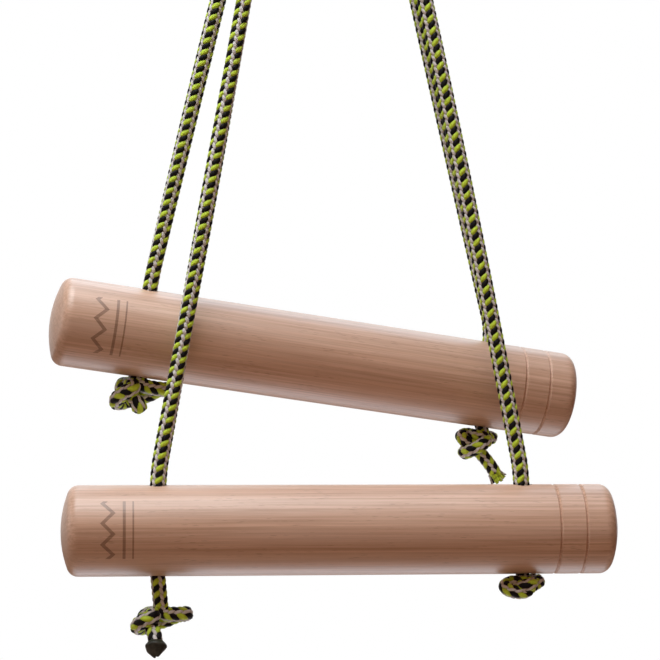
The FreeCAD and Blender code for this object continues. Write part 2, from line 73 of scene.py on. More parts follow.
import bpy
import numpy as np
from bpy.props import FloatProperty, FloatVectorProperty, PointerProperty
from mathutils import Matrix, Vector

MM = 0.001
JOINTS = {joint["name"]: joint for joint in frame["joints"]}


# The routes of the two ropes, from inside the left hole, over the carabiner, to inside the right hole.
ROUTES = {
    "front": [
        (-0.09172, -0.03383, -0.60822), (-0.09168, -0.03275, -0.57944), (-0.08789, -0.03156, -0.55837),
        (-0.08073, -0.0293, -0.51857), (-0.0669, -0.02493, -0.44129), (-0.04628, -0.01834, -0.32416),
        (-0.02771, -0.01232, -0.21632), (-0.01655, -0.00867, -0.15065), (-0.0098, -0.00645, -0.11078),
        (0.00971, -0.00437, -0.11078), (0.01931, -0.00483, -0.15049), (0.03494, -0.0056, -0.21595),
        (0.05953, -0.007, -0.32372), (0.08418, -0.00876, -0.4413), (0.09944, -0.01003, -0.51913),
        (0.10711, -0.01071, -0.55926), (0.11116, -0.01107, -0.5805), (0.11112, -0.01215, -0.60928),
    ],
    "rear": [
        (-0.10271, 0.00195, -0.49968), (-0.09827, 0.00156, -0.47122), (-0.09362, 0.0016, -0.45133),
        (-0.08768, 0.00166, -0.42602), (-0.07657, 0.00178, -0.37904), (-0.05778, 0.00209, -0.30144),
        (-0.03417, 0.00265, -0.20781), (-0.01831, 0.00312, -0.14671), (-0.00891, 0.00341, -0.11078),
        (0.0091, 0.00727, -0.11078), (0.01789, 0.01088, -0.14989), (0.03288, 0.01704, -0.21636),
        (0.05609, 0.02652, -0.31796), (0.0756, 0.03442, -0.40189), (0.08751, 0.03923, -0.45261),
        (0.09394, 0.04182, -0.47992), (0.099, 0.04385, -0.50137), (0.09457, 0.04424, -0.52983),
    ],
}

# How far each rope is twisted: pairs of the distance along its route in metres and the turn in radians.
TWISTS = {
    "front": ((0.02, 0.10), (0.05, 0.23), (0.161, 1.46), (0.262, 2.26), (0.514, 2.70), (0.755, 3.26),
              (1.01, 3.47)),
    "rear": ((0.03, -0.81), (0.05, -0.52), (0.085, -0.26), (0.118, -0.085), (0.152, -0.065), (0.645, 0.45),
             (0.84, 0.50)),
}


# ---------------------------------------------------------------- settings
class RopeSettings(bpy.types.PropertyGroup):
    diameter: FloatProperty(
        name="Diameter", description="Outside of the braided sheath", default=0.009, unit="LENGTH")
    pitch: FloatProperty(
        name="Pitch", description="Distance along the rope between neighbouring yarns", default=0.00337,
        unit="LENGTH")
    bright: FloatVectorProperty(
        name="Bright yarn", description="Yarn that alternates with the dark one", size=3, subtype="COLOR",
        default=(0.60, 0.84, 0.050), min=0.0, max=1.0)
    dark: FloatVectorProperty(
        name="Dark yarn", description="Yarn that alternates with the bright one", size=3, subtype="COLOR",
        default=(0.004, 0.004, 0.006), min=0.0, max=1.0)
    pale: FloatVectorProperty(
        name="Pale yarn", description="Yarn that runs the other way round", size=3, subtype="COLOR",
        default=(0.74, 0.74, 0.75), min=0.0, max=1.0)


class WoodSettings(bpy.types.PropertyGroup):
    pale: FloatVectorProperty(
        name="Early wood", description="Lightest wood", size=3, subtype="COLOR",
        default=(0.72, 0.485, 0.37), min=0.0, max=1.0)
    deep: FloatVectorProperty(
        name="Late wood", description="Darkest wood between the rings", size=3, subtype="COLOR",
        default=(0.52, 0.305, 0.205), min=0.0, max=1.0)
    ring_width: FloatProperty(
        name="Ring width", description="Average distance between growth rings", default=0.0035, unit="LENGTH")


class StageSettings(bpy.types.PropertyGroup):
    camera_back: FloatProperty(
        name="Camera distance", description="From the front bar's centre", default=1.2, unit="LENGTH")
    lens: FloatProperty(name="Lens", description="Focal length of the camera", default=117.9, unit="CAMERA")


# ---------------------------------------------------------------- node helpers
def put(tree, socket, value):
    """Sets a socket's value, or links it when the value is another socket."""
    if isinstance(value, bpy.types.NodeSocket):
        tree.links.new(value, socket)
    else:
        socket.default_value = value


def add_node(tree, kind, inputs=None, **settings):
    """Adds a node, then sets its options and inputs."""
    node = tree.nodes.new(kind)
    for key, value in settings.items():
        setattr(node, key, value)
    for key, value in (inputs or {}).items():
        put(tree, node.inputs[key], value)
    return node


class Nodes:
    """Short names for building one material's node tree."""

    def __init__(self, name):
        self.material = bpy.data.materials.new(name)
        self.material.use_nodes = True
        self.tree = self.material.node_tree
        self.shader = self.tree.nodes["Principled BSDF"]

    def add(self, kind, inputs=None, **settings):
        """Any node of this tree."""
        return add_node(self.tree, kind, inputs, **settings)

    def place(self):
        """The place on the object in metres."""
        return self.add("ShaderNodeTexCoord").outputs["Object"]

    def math(self, operation, a, b=0.0, c=None, clamp=False):
        """One calculation with up to three values."""
        node = self.add("ShaderNodeMath", operation=operation, use_clamp=clamp)
        put(self.tree, node.inputs[0], a)
        put(self.tree, node.inputs[1], b)
        if c is not None:
            put(self.tree, node.inputs[2], c)
        return node.outputs[0]

    def ramp(self, factor, stops):
        """A colour ramp that runs straight between its stops."""
        node = self.add("ShaderNodeValToRGB", {"Fac": factor})
        elements = node.color_ramp.elements
        while len(elements) > 1:
            elements.remove(elements[-1])
        for i, (place, colour) in enumerate(stops):
            element = elements[0] if i == 0 else elements.new(place)
            element.position = place
            element.color = (*colour, 1.0)
        return node.outputs["Color"]

    def mix(self, factor, a, b, blend="MIX"):
        """Two colours mixed by a factor."""
        node = self.add("ShaderNodeMix", data_type="RGBA", blend_type=blend)
        put(self.tree, node.inputs["Factor"], factor)
        for key, value in ((6, a), (7, b)):
            put(self.tree, node.inputs[key], (*value, 1.0) if isinstance(value, tuple) else value)
        return node.outputs[2]

    def noise(self, vector, scale, detail=2.0, roughness=0.5):
        """Cloudy noise from 0 to 1."""
        return self.add("ShaderNodeTexNoise", {
            "Vector": vector, "Scale": scale, "Detail": detail, "Roughness": roughness}).outputs["Fac"]

    def bump(self, height, strength, distance):
        """A normal roughened by a height."""
        inputs = {"Height": height, "Strength": strength, "Distance": distance}
        return self.add("ShaderNodeBump", inputs).outputs["Normal"]

    def shade(self, **inputs):
        """Sets the surface's inputs and hands over the finished material."""
        for key, value in inputs.items():
            put(self.tree, self.shader.inputs[key.replace("_", " ")], value)
        return self.material


def set_material(obj, material):
    """Gives an object one material only."""
    obj.data.materials.clear()
    obj.data.materials.append(material)


def grey(value):
    """A grey of that brightness."""
    return (value,) * 3


def scaled(colour, share):
    """A lighter or darker version of a colour."""
    return tuple(channel * share for channel in colour)


# ---------------------------------------------------------------- rope finishes
# colours of the painted shade where each yarn dips under its neighbours
BRIGHT_SHADOW = (0.03, 0.055, 0.006)
DARK_SHADOW = (0.002, 0.002, 0.002)
PALE_SHADOW = (0.05, 0.052, 0.055)


def yarn_finish(name, colour, shadow, sheen=0.18, specular=0.35):
    """Twisted filament yarn: fine filaments along each float, with painted shade darkening it where it dips
    under its neighbours.
    """
    n = Nodes(name)
    uv = n.add("ShaderNodeUVMap", uv_map="yarn").outputs["UV"]
    parts = n.add("ShaderNodeSeparateXYZ", {"Vector": uv})
    along, across = parts.outputs["X"], parts.outputs["Y"]
    twisted = n.math("MULTIPLY_ADD", along, 0.55, across)
    stretched = n.add("ShaderNodeCombineXYZ", {
        "X": n.math("MULTIPLY", along, 1.1), "Y": n.math("MULTIPLY", twisted, 9.0)}).outputs[0]
    filament = n.noise(stretched, 2.2, 3.0, 0.65)
    side = n.math("ABSOLUTE", n.math("MULTIPLY_ADD", n.math("FRACT", across), 2.0, -1.0))
    end = n.math("ABSOLUTE", n.math("MULTIPLY_ADD", n.math("FRACT", along), 2.0, -1.0))
    # painted shade: how far the float's sides and ends sink into the shade of its neighbours
    dip_shade = n.math("MAXIMUM", n.math("POWER", side, 3.0), n.math("POWER", end, 3.5))
    tone = n.mix(n.math("MULTIPLY", filament, 0.85), scaled(colour, 1.18), scaled(colour, 0.62))
    # the yarn colour is mixed towards its painted shadow colour at the float's sides and ends
    tone = n.mix(n.math("MULTIPLY", dip_shade, 0.72), tone, shadow)
    height = n.math("MULTIPLY_ADD", side, -0.25, filament)
    return n.shade(Base_Color=tone, Roughness=0.5, Normal=n.bump(height, 0.55, 0.00025),
                   Sheen_Weight=sheen, Sheen_Roughness=0.5, Specular_IOR_Level=specular)


def core_shade_finish():
    """Near-black core that only shows between the yarns, painted shade in the gaps of the braid."""
    n = Nodes("rope_core_shade")
    speck = n.noise(n.place(), 1800.0)
    # near-black tone painted as the shade that fills the gaps between the floats
    tone = n.ramp(speck, [(0.3, (0.02, 0.02, 0.02)), (0.8, (0.07, 0.075, 0.07))])
    return n.shade(Base_Color=tone, Roughness=0.9)


def melted_finish():
    """Rope melted to a lumpy, half-glossy black."""
    n = Nodes("melted_rope_end")
    lump = n.noise(n.place(), 420.0, 3.0, 0.6)
    tone = n.ramp(lump, [(0.3, (0.008, 0.009, 0.008)), (0.75, (0.035, 0.04, 0.03))])
    rough = n.math("MULTIPLY_ADD", lump, 0.35, 0.2)
    return n.shade(Base_Color=tone, Roughness=rough, Normal=n.bump(lump, 0.5, 0.0006))


def rope_finishes(rope):
    """The bright, dark and pale yarns and the near-black core that paints shade between them, in the order of
    their numbers.
    """
    wanted = {
        "yarn_bright": lambda: yarn_finish("yarn_bright", tuple(rope.bright), BRIGHT_SHADOW),
        "yarn_dark": lambda: yarn_finish("yarn_dark", tuple(rope.dark), DARK_SHADOW, 0.02, 0.18),
        "yarn_pale": lambda: yarn_finish("yarn_pale", tuple(rope.pale), PALE_SHADOW),
        "rope_core_shade": core_shade_finish,
    }
    return [bpy.data.materials.get(name) or make() for name, make in wanted.items()]


# ---------------------------------------------------------------- wood and metal finishes
# per bar: where its grain pattern starts, and how far below its centre the heart of the tree lay
GRAIN = {"front": (2.0, 0.065), "rear": (9.0, -0.055)}
PITH_ASIDE = 0.050

FADED_WOOD = (0.68, 0.50, 0.41)
FINE_GRAIN = (0.42, 0.24, 0.15)
PORE_BROWN = (0.20, 0.11, 0.065)
END_BROWN = (0.45, 0.27, 0.16)
BURNT_BROWN = (0.13, 0.055, 0.028)

BAR_HALF_LENGTH = 0.15475
BAR_RADIUS = 0.025
END_GRAIN_STARTS = BAR_HALF_LENGTH - 0.0085
END_GRAIN_FULL = BAR_HALF_LENGTH - 0.001

# the burnt-in mark in metres: its place along the bar, its middle round the bar and how far it reaches from
# there, then its zigzag and its two lines
MARK_ALONG, MARK_ROUND, MARK_HALF = -0.1255, 0.0375, 0.0168
ZIGZAG_LEFT, ZIGZAG_DEPTH, ZIGZAG_HALF_LINE, ZIGZAG_START = -0.0065, 0.0058, 0.0013, 0.05
LINES_FROM, LINES_TO, LINE_GAP, HALF_LINE = 0.0035, 0.0105, 0.0026, 0.0008


def bar_place(n, centre, axes):
    """Distances along, across and up from a bar's centre, in its own axes."""
    turn = Matrix((axes[0], axes[1], axes[2])).transposed().to_euler()
    local = n.add("ShaderNodeMapping", {
        "Vector": n.place(), "Location": tuple(centre), "Rotation": tuple(turn)}, vector_type="TEXTURE")
    parts = n.add("ShaderNodeSeparateXYZ", {"Vector": local.outputs["Vector"]})
    return tuple(parts.outputs[key] for key in "XYZ")


def along_grain(n, xyz, along, across, start):
    """The place drawn out along the grain, in cycles per metre along it and across it."""
    x, y, z = xyz
    return n.add("ShaderNodeCombineXYZ", {
        "X": n.math("MULTIPLY_ADD", x, along, start), "Y": n.math("MULTIPLY", y, across),
        "Z": n.math("MULTIPLY", z, across)}).outputs[0]


def growth_rings(n, xyz, ring_width, start, pith_below):
    """Rings round a pith that lies outside the bar, wavering slowly along it."""
    y, z = xyz[1:]
    waver = n.noise(along_grain(n, xyz, 6.0, 22.0, start), 1.0)
    from_pith_y = n.math("ADD", y, PITH_ASIDE)
    from_pith_z = n.math("ADD", z, pith_below)
    squares = n.math("ADD", n.math("MULTIPLY", from_pith_y, from_pith_y),
                     n.math("MULTIPLY", from_pith_z, from_pith_z))
    radius = n.math("MULTIPLY_ADD", waver, 0.009, n.math("SQRT", squares))
    ring = n.math("FRACT", n.math("DIVIDE", radius, ring_width))
    return n.ramp(ring, [(0.0, grey(0.1)), (0.72, grey(0.55)), (0.93, grey(1.0)), (1.0, grey(0.1))])


def grain_colour(n, xyz, settings, start, rings, streak, fine):
    """Early and late wood with long streaks, broad faded patches and fine darker grain."""
    broad = n.noise(along_grain(n, xyz, 5.0, 90.0, start + 3.0), 1.0)
    streaked = n.ramp(streak, [(0.36, grey(0.0)), (0.70, grey(0.80))])
    faded = n.ramp(broad, [(0.42, grey(0.0)), (0.72, grey(0.50))])
    tone = n.mix(n.math("MULTIPLY", rings, 0.55), tuple(settings.pale), tuple(settings.deep))
    tone = n.mix(streaked, tone, scaled(settings.deep, 0.80))
    tone = n.mix(faded, tone, FADED_WOOD)
    return n.mix(n.math("MULTIPLY", fine, 0.22), tone, FINE_GRAIN, "MULTIPLY")


def wood_pores(n, xyz, start):
    """Short dark dashes along the grain, in scattered patches."""
    drawn_out = along_grain(n, xyz, 105.0, 1500.0, start + 7.0)
    cells = n.add("ShaderNodeTexVoronoi", {"Vector": drawn_out, "Scale": 1.0, "Randomness": 1.0},
                  feature="F1")
    dashes = n.ramp(cells.outputs["Distance"], [(0.13, grey(1.0)), (0.25, grey(0.0))])
    patches = n.noise(along_grain(n, xyz, 30.0, 240.0, start + 11.0), 1.0, 1.0)
    return n.math("MULTIPLY", dashes, n.ramp(patches, [(0.47, grey(0.0)), (0.6, grey(1.0))]))


def end_grain(n, x):
    """How far a place belongs to the darker end of a bar."""
    return n.ramp(n.math("ABSOLUTE", x), [(END_GRAIN_STARTS, grey(0.0)), (END_GRAIN_FULL, grey(1.0))])


def burnt_mark(n, xyz, streak):
    """A zigzag beside two plain lines near the left end, burnt unevenly."""
    x, y, z = xyz
    angle = n.math("ARCTAN2", n.math("MULTIPLY", y, -1.0), z)
    around = n.math("SUBTRACT", n.math("MULTIPLY", angle, BAR_RADIUS), MARK_ROUND)
    along = n.math("SUBTRACT", x, MARK_ALONG)
    wave = n.math("PINGPONG", n.math("ADD", around, ZIGZAG_START), ZIGZAG_DEPTH)
    off_zigzag = n.math("ABSOLUTE", n.math("SUBTRACT", n.math("SUBTRACT", along, wave), ZIGZAG_LEFT))
    zigzag = n.math("LESS_THAN", off_zigzag, ZIGZAG_HALF_LINE)
    lines = n.math("LESS_THAN", n.math("PINGPONG", along, LINE_GAP), HALF_LINE)
    past, short = n.math("GREATER_THAN", along, LINES_FROM), n.math("LESS_THAN", along, LINES_TO)
    beside = n.math("MULTIPLY", past, short)
    drawn = n.math("MAXIMUM", zigzag, n.math("MULTIPLY", lines, beside))
    within = n.math("LESS_THAN", n.math("ABSOLUTE", around), MARK_HALF)
    uneven = n.math("MULTIPLY_ADD", streak, 0.5, 0.55)
    return n.math("MULTIPLY", n.math("MULTIPLY", drawn, within), uneven, clamp=True)


def wood_finish(name, centre, axes, settings, start, pith_below):
    """Turned, sanded hardwood with its rings, pores, darker ends and burnt-in mark, in the bar's own axes."""
    n = Nodes(name)
    xyz = bar_place(n, centre, axes)
    streak = n.noise(along_grain(n, xyz, 9.0, 700.0, start), 1.0, 3.0, 0.62)
    fine = n.noise(along_grain(n, xyz, 60.0, 2600.0, start + 1.0), 1.0, 2.0, 0.6)
    rings = growth_rings(n, xyz, settings.ring_width, start, pith_below)
    pores = wood_pores(n, xyz, start)
    mark = burnt_mark(n, xyz, streak)
    tone = grain_colour(n, xyz, settings, start, rings, streak, fine)
    tone = n.mix(n.math("MULTIPLY", pores, 0.60), tone, PORE_BROWN)
    tone = n.mix(n.math("MULTIPLY", end_grain(n, xyz[0]), 0.35), tone, END_BROWN)
    tone = n.mix(n.math("MULTIPLY", mark, 0.82), tone, BURNT_BROWN)
    dents = n.math("ADD", n.math("MULTIPLY", pores, 1.2), n.math("MULTIPLY", mark, 0.8))
    height = n.math("SUBTRACT", n.math("MULTIPLY", fine, 0.5), dents)
    rough = n.math("MULTIPLY_ADD", streak, 0.16, 0.36)
    return n.shade(Base_Color=tone, Roughness=rough, Normal=n.bump(height, 0.25, 0.00012),
                   Specular_IOR_Level=0.55, Coat_Weight=0.45, Coat_Roughness=0.45, Coat_IOR=1.6)


def metal_finish(name, colour, rough, grain):
    """Satin metal with fine handling marks."""
    n = Nodes(name)
    place = n.place()
    cloud = n.noise(place, 55.0, 4.0, 0.6)
    drawn_out = n.add("ShaderNodeMapping", {"Vector": place, "Scale": (1.0, 1.0, 9.0)}).outputs[0]
    marks = n.noise(drawn_out, grain, 3.0, 0.7)
    tone = n.mix(cloud, scaled(colour, 0.86), scaled(colour, 1.08))
    roughness = n.math("MULTIPLY_ADD", marks, 0.22, rough)
    return n.shade(Base_Color=tone, Metallic=1.0, Roughness=roughness, Normal=n.bump(marks, 0.12, 0.0001))


# ---------------------------------------------------------------- lines
def spline_line(name, points, resolution=24):
    """The smooth line of a route: the points read back from its NURBS spline."""
    curve = bpy.data.curves.new(name, "CURVE")
    curve.dimensions = "3D"
    spline = curve.splines.new("NURBS")
    spline.points.add(len(points) - 1)
    for point, at in zip(spline.points, points):
        point.co = (*at, 1.0)
    spline.order_u = 3
    spline.use_endpoint_u = True
    spline.resolution_u = resolution
    holder = bpy.data.objects.new(name, curve)
    mesh = bpy.data.meshes.new_from_object(holder)
    line = np.array([v.co for v in mesh.vertices], float)
    bpy.data.objects.remove(holder)
    bpy.data.meshes.remove(mesh)
    bpy.data.curves.remove(curve)
    return line


def respaced(line, step):
    """The same line with points at even distances."""
    lengths = np.concatenate([[0.0], np.cumsum(np.linalg.norm(np.diff(line, axis=0), axis=1))])
    count = max(2, int(round(lengths[-1] / step)) + 1)
    at = np.linspace(0.0, lengths[-1], count)
    return np.stack([np.interp(at, lengths, line[:, k]) for k in range(3)], axis=1)


class Line:
    """A line with a frame carried along it without twist."""

    def __init__(self, points, start_side=(0.0, -1.0, 0.0), step=0.0006):
        self.points = respaced(np.asarray(points, float), step)
        self.step = np.linalg.norm(self.points[1] - self.points[0])
        self.length = self.step * (len(self.points) - 1)
        tangents = np.gradient(self.points, axis=0)
        self.tangents = tangents / np.linalg.norm(tangents, axis=1)[:, None]
        side = np.array(start_side, float)
        sides = []
        for tangent in self.tangents:
            side = side - tangent * (side @ tangent)
            side = side / np.linalg.norm(side)
            sides.append(side)
        self.sides = np.array(sides)
        self.others = np.cross(self.tangents, self.sides)

    def sample(self, along, field):
        """A field's value at distances along the line, between its nearest two points."""
        place = np.clip(np.asarray(along) / self.step, 0, len(self.points) - 1.001)
        low = place.astype(int)
        share = (place - low)[..., None]
        return field[low] * (1 - share) + field[low + 1] * share

    def surface(self, along, angle, radius):
        """Points at that distance along, angle round and radius out."""
        centre = self.sample(along, self.points)
        side = self.sample(along, self.sides)
        other = self.sample(along, self.others)
        out = side * np.cos(angle)[..., None] + other * np.sin(angle)[..., None]
        return centre + out * np.asarray(radius)[..., None]


# ---------------------------------------------------------------- braided rope
# numbers of the finishes on a rope
BRIGHT, DARK, PALE, CORE = 0, 1, 2, 3

WALES = 8
FLOAT_U, FLOAT_V = 7, 5
# per kind of wale: half width in wales, slant, height of the crown, roundness of the ends
COLOURED_WALE = (0.90, 0.66, 1.05, 0.50)
PALE_WALE = (0.56, 0.85, 0.985, 0.20)
# half the width of a yarn in pitches, how far it turns over that, and how its float falls to the wale's sides
# and to the yarn's edges
HALF_YARN, YARN_TURN = 0.52, 0.10
SIDE_FALL, SIDE_POWER = 0.185, 2.6
EDGE_FALL, EDGE_POWER = 0.150, 2.3
# the yarn map: each float fills one tile, just inside its edges, and wales lie far apart
TILE_HALF, TILE_EDGE, TILES_PER_WALE, TILES_PER_ROW = 0.499, 0.0005, 17.0, 3.0

# the core: its sides, the distance between its rings in metres and its share of the rope's radius
CORE_SIDES, CORE_STEP, CORE_SHARE = 16, 0.0015, 0.875


def float_map(u, v, rows, wale):
    """Where each point of one wale's floats lies on the yarn map."""
    shape = (len(rows), FLOAT_U, FLOAT_V)
    row = rows[:, None, None]
    along_yarn = np.broadcast_to((u + 1) * TILE_HALF + TILE_EDGE, shape) + row + wale * TILES_PER_WALE
    across_yarn = np.broadcast_to((v + 1) * TILE_HALF + TILE_EDGE, shape) + row * TILES_PER_ROW
    return np.stack([along_yarn, across_yarn], axis=-1).reshape(-1, 2)


def wale_floats(line, rope, narrow, twist, wale):
    """The floats of one wale as (vertices, uvs, material numbers), each a small domed patch."""
    coloured = wale % 2 == 0
    leans = 1.0 if coloured else -1.0
    half, slant, crown, round_ends = COLOURED_WALE if coloured else PALE_WALE
    radius = rope.diameter / 2.0 * narrow
    reach = 2 * math.pi / WALES * half
    u = np.linspace(-1.0, 1.0, FLOAT_U)[None, :, None]
    v = np.linspace(-1.0, 1.0, FLOAT_V)[None, None, :]
    rows = np.arange(-1, int(line.length / rope.pitch) + 2)
    middles = (rows + (0.25 if coloured else 0.75)) * rope.pitch
    on_line = (middles >= 0.0) & (middles <= line.length)
    rows, centre = rows[on_line], middles[on_line][:, None, None]
    along = centre + leans * u * reach * radius * slant
    along = along + v * rope.pitch * HALF_YARN * (1.0 - round_ends * u ** 2)
    turned = np.interp(centre, [place for place, _ in twist], [value for _, value in twist])
    angle = 2 * math.pi * wale / WALES + turned + u * reach - leans * v * YARN_TURN
    out = radius * (crown - SIDE_FALL * np.abs(u) ** SIDE_POWER - EDGE_FALL * np.abs(v) ** EDGE_POWER)
    points = line.surface(np.clip(along, 0.0, line.length), np.broadcast_to(angle, along.shape),
                          np.broadcast_to(out, along.shape))
    yarn = np.where(rows % 2 == 0, BRIGHT, DARK) if coloured else np.full(len(rows), PALE)
    numbers = np.repeat(yarn, (FLOAT_U - 1) * (FLOAT_V - 1))
    return points.reshape(-1, 3), float_map(u, v, rows, wale), numbers


def braid(line, rope, narrow, twist):
    """Floats of a round braid as (vertices, quads, uvs, material numbers). Even wales carry the bright and
    dark yarns, slanting one way. Odd wales carry the pale yarn, slanting the other way."""
    wales = [wale_floats(line, rope, narrow, twist, wale) for wale in range(WALES)]
    vertices, uvs, numbers = (np.concatenate(parts) for parts in zip(*wales))
    patches = len(vertices) // (FLOAT_U * FLOAT_V)
    grid = np.arange(FLOAT_U * FLOAT_V).reshape(FLOAT_U, FLOAT_V)
    quad = np.stack([grid[:-1, :-1], grid[:-1, 1:], grid[1:, 1:], grid[1:, :-1]], axis=-1).reshape(-1, 4)
    quads = (quad[None] + np.arange(patches)[:, None, None] * FLOAT_U * FLOAT_V).reshape(-1, 4)
    return vertices, quads, uvs, numbers


def core(line, rope, narrow):
    """The round core under the sheath, closed at both ends, as (vertices, quads, triangles)."""
    rings = max(3, int(line.length / CORE_STEP) + 1)
    along = np.linspace(0.0, line.length, rings)[:, None] + np.zeros((1, CORE_SIDES))
    angle = np.broadcast_to(np.arange(CORE_SIDES) * 2 * math.pi / CORE_SIDES, along.shape)
    out = np.full(along.shape, rope.diameter / 2.0 * narrow * CORE_SHARE)
    points = line.surface(along, angle, out).reshape(-1, 3)
    ends = line.surface(np.array([0.0, line.length]), np.zeros(2), np.zeros(2))
    index = np.arange(rings * CORE_SIDES).reshape(rings, CORE_SIDES)
    beside = np.roll(index, -1, axis=1)
    quads = np.stack([index[:-1], beside[:-1], beside[1:], index[1:]], axis=-1).reshape(-1, 4)
    caps = [(len(points), int(beside[0, k]), int(index[0, k])) for k in range(CORE_SIDES)]
    caps += [(len(points) + 1, int(index[-1, k]), int(beside[-1, k])) for k in range(CORE_SIDES)]
    return np.concatenate([points, ends]), quads, caps


def rope_mesh(name, pieces, finishes):
    """One mesh object from braids, cores and loose yarns."""
    vertices, faces, materials, uv_rows = [], [], [], []
    base = 0
    for points, quads, caps, uvs, numbers in pieces:
        vertices.append(points)
        faces += (quads + base).tolist()
        materials += list(numbers)
        for row in quads:
            uv_rows.append(uvs[row] if uvs is not None else np.zeros((4, 2)))
        for face in caps:
            faces.append([i + base for i in face])
            materials.append(CORE)
            uv_rows.append(np.zeros((3, 2)))
        base += len(points)
    mesh = bpy.data.meshes.new(name)
    mesh.from_pydata(np.concatenate(vertices).tolist(), [], faces)
    for finish in finishes:
        mesh.materials.append(finish)
    mesh.polygons.foreach_set("material_index", np.array(materials, np.int32))
    mesh.polygons.foreach_set("use_smooth", np.ones(len(faces), bool))
    layer = mesh.uv_layers.new(name="yarn")
    layer.data.foreach_set("uv", np.concatenate(uv_rows).astype(np.float32).ravel())
    mesh.update()
    return linked(name, mesh)


def linked(name, data):
    """A new object with that data, put in the scene."""
    obj = bpy.data.objects.new(name, data)
    bpy.context.scene.collection.objects.link(obj)
    return obj


# loose yarns: how many, their steps and sides, then ranges of length in metres, outward spread and start as
# a share of the rope's radius, how deep they are rooted in metres and how thick they are in radii
FRAY_YARNS, FRAY_STEPS, FRAY_SIDES = 22, 6, 5
FRAY_LENGTH, FRAY_SPREAD, FRAY_INSET = (0.0040, 0.0066), (0.10, 0.50), (0.30, 0.80)
FRAY_ROOT, FRAY_THICKNESS = 0.0008, 0.33


def frayed_yarns(line, rope, narrow):
    """Loose yarns that spread from the cut end of a rope, as (vertices, quads, uvs, material numbers)."""
    rng = np.random.default_rng(7)
    radius = rope.diameter / 2.0 * narrow
    tangent, side, other = line.tangents[-1], line.sides[-1], line.others[-1]
    root = line.points[-1] - tangent * FRAY_ROOT
    t = np.linspace(0.0, 1.0, FRAY_STEPS)
    thick = radius * FRAY_THICKNESS * (1.0 - 0.45 * t ** 2)
    round_yarn = np.arange(FRAY_SIDES) * 2 * math.pi / FRAY_SIDES
    ring = side * np.cos(round_yarn)[:, None] + other * np.sin(round_yarn)[:, None]
    points, uvs, quads, numbers = [], [], [], []
    for k in range(FRAY_YARNS):
        angle = 2 * math.pi * (k + rng.uniform(-0.3, 0.3)) / FRAY_YARNS
        out = side * math.cos(angle) + other * math.sin(angle)
        length, spread, inset = rng.uniform(*FRAY_LENGTH), rng.uniform(*FRAY_SPREAD), rng.uniform(*FRAY_INSET)
        middle = (root + out * radius * inset
                  + tangent * (t * length)[:, None] + out * (t ** 1.6 * length * spread)[:, None])
        yarn = DARK if k % 7 == 3 else BRIGHT
        yarn = PALE if k % 5 == 4 else yarn
        base = len(points) * FRAY_SIDES
        for i in range(FRAY_STEPS):
            points.append(middle[i] + ring * thick[i])
            around = 0.1 + 0.16 * np.arange(FRAY_SIDES)
            uvs.append(np.stack([np.full(FRAY_SIDES, t[i] * 2.0), around], axis=-1))
        for i in range(FRAY_STEPS - 1):
            for j in range(FRAY_SIDES):
                low, high, n = base + i * FRAY_SIDES, base + (i + 1) * FRAY_SIDES, (j + 1) % FRAY_SIDES
                quads.append((low + j, low + n, high + n, high + j))
                numbers.append(yarn)
        quads.append(tuple(base + (FRAY_STEPS - 1) * FRAY_SIDES + j for j in (0, 1, 2, 3)))
        numbers.append(BRIGHT)
    return np.concatenate(points), np.array(quads), np.concatenate(uvs), numbers


def rope_object(name, line, rope, finishes, narrow, twist, frayed=False):
    """A length of rope as one object: sheath, core and, if it ends frayed, its loose yarns."""
    points, quads, uvs, numbers = braid(line, rope, narrow, twist)
    core_points, core_quads, caps = core(line, rope, narrow)
    pieces = [
        (points, quads, [], uvs, numbers),
        (core_points, core_quads, caps, None, [CORE] * len(core_quads)),
    ]
    if frayed:
        points, quads, uvs, numbers = frayed_yarns(line, rope, narrow)
        pieces.append((points, quads, [], uvs, numbers))
    return rope_mesh(name, pieces, finishes)


# ---------------------------------------------------------------- knots
# Each end: how its knot is turned about the hole in degrees, which hand it is tied with, how tightly it is
# packed, how flat it is pressed, how thin the rope is in it, where its yarns start round the rope, where its
# tail points (along, across, up), the tail's length, how far the knot leans and how far it sits off the line
# of the hole, all three in millimetres, and how the rope ends.
ENDS = {
    "front_left": dict(turn=225.0, mirror=True, packed=0.74, flat=0.66, narrow=0.94, phase=0.39,
                       tail=(-0.27, -0.10, -1.0), tail_length=16.0, lean=2.2, shift=0.0, tip="melted"),
    "front_right": dict(turn=0.0, mirror=False, packed=0.66, flat=0.50, narrow=0.84, phase=0.3,
                        tail=(0.10, 1.0, 0.10), tail_length=3.0, lean=0.0, shift=0.0, tip="cut"),
    "rear_left": dict(turn=225.0, mirror=True, packed=0.80, flat=0.92, narrow=0.96, phase=0.3,
                      tail=(0.1, 1.0, 0.2), tail_length=7.0, lean=0.0, shift=4.5, tip="cut"),
    "rear_right": dict(turn=270.0, mirror=True, packed=0.72, flat=0.88, narrow=0.88, phase=0.3,
                       tail=(0.55, -0.06, -1.0), tail_length=19.0, lean=2.0, shift=0.0, tip="frayed"),
}

# tying a knot: the step between points in millimetres, the number of pulls, the passes that space the points
KNOT_STEP, KNOT_PULLS, SPACING_PASSES = 1.5, 700, 12
# per pull: how far the head and the tail move in millimetres, what the head keeps of its distance from the
# line and how far each point moves towards the middle of its neighbours
HEAD_PULL, TAIL_PULL, HEAD_KEEPS, STIFFNESS = 0.5, 0.3, 0.8, 0.10
# in thicknesses of the rope: nearer along the rope than this never pushes, off the line and touching from here
NEIGHBOURS, LEFT_THE_LINE, TOUCHING = 1.7, 0.3, 1.12
# joining a knot to its hole, in millimetres: the straight entry's points and its gap above the knot, the
# even step of the whole line and how often it is smoothed, the height where the lean begins and the shift's
# reach
ENTRY_POINTS, ENTRY_GAP = 30, 2.5
END_STEP, END_SMOOTHING = 0.8, 5
LEAN_FROM, SHIFT_REACH = -20.0, 7.0


